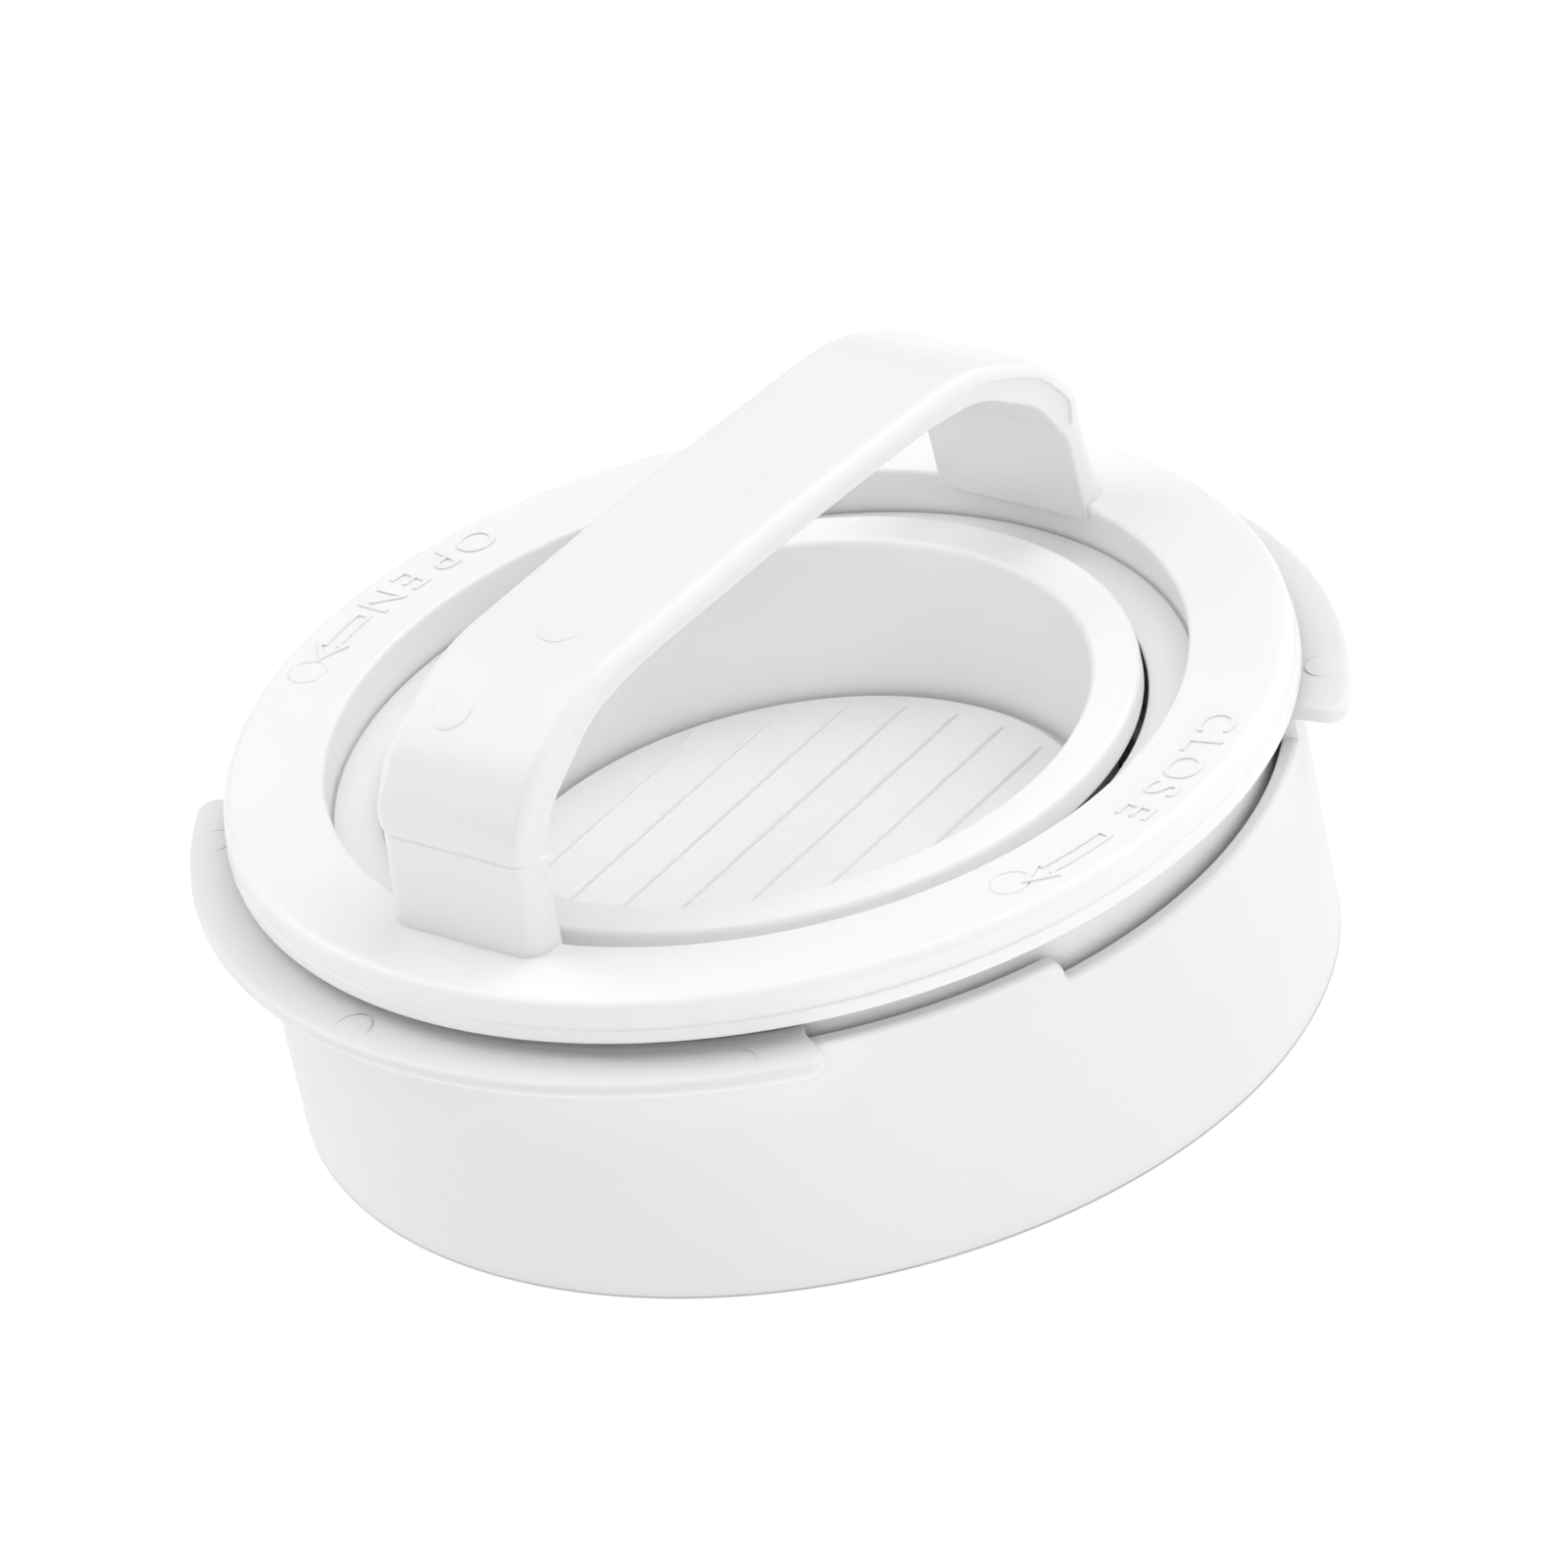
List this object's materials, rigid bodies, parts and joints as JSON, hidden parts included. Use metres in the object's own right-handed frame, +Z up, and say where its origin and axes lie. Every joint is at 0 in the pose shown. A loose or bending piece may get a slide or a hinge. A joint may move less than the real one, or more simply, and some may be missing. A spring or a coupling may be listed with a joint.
{
  "type": "patty press",
  "caption": "Round hand press for stuffed meat patties: base mould with grip wings, lift-out plate, press drum, twist ring with strap handle and a push-down stuffing cup.",
  "frame": {"origin": "centre of the base's bottom ring, on the surface it stands on", "axes": "+X through the middle of one grip wing, +Y through the open rims between the wings, +Z up along the axis of every round piece"},
  "size_m": [0.1406, 0.13, 0.0706],
  "materials": {
    "base_plastic": "satin moulded, white",
    "plate_plastic": "satin moulded, white",
    "drum_plastic": "satin moulded, white",
    "ring_plastic": "satin moulded, white",
    "handle_plastic": "satin moulded, white",
    "cup_plastic": "satin moulded, white"
  },
  "bodies": {
    "base": {"base_shell": "base_plastic"},
    "plate": {"base_plate": "plate_plastic"},
    "drum": {"press_drum": "drum_plastic"},
    "ring": {"twist_ring": "ring_plastic", "strap_handle": "handle_plastic"},
    "cup": {"stuffing_cup": "cup_plastic"}
  },
  "joints": [
    {"name": "plate_lift", "type": "slide", "parent": "base", "child": "plate", "axis": [0, 0, 1], "range_m": [0, 0.028]},
    {"name": "press_lift", "type": "slide", "parent": "plate", "child": "drum", "axis": [0, 0, 1], "range_m": [0, 0.06]},
    {"name": "ring_twist", "type": "hinge", "parent": "drum", "child": "ring", "pos_m": [0, 0, 0.0394], "axis": [0, 0, 1], "range_deg": [0, 45]},
    {"name": "cup_drop", "type": "slide", "parent": "drum", "child": "cup", "axis": [0, 0, -1], "range_m": [0, 0.011]}
  ]
}
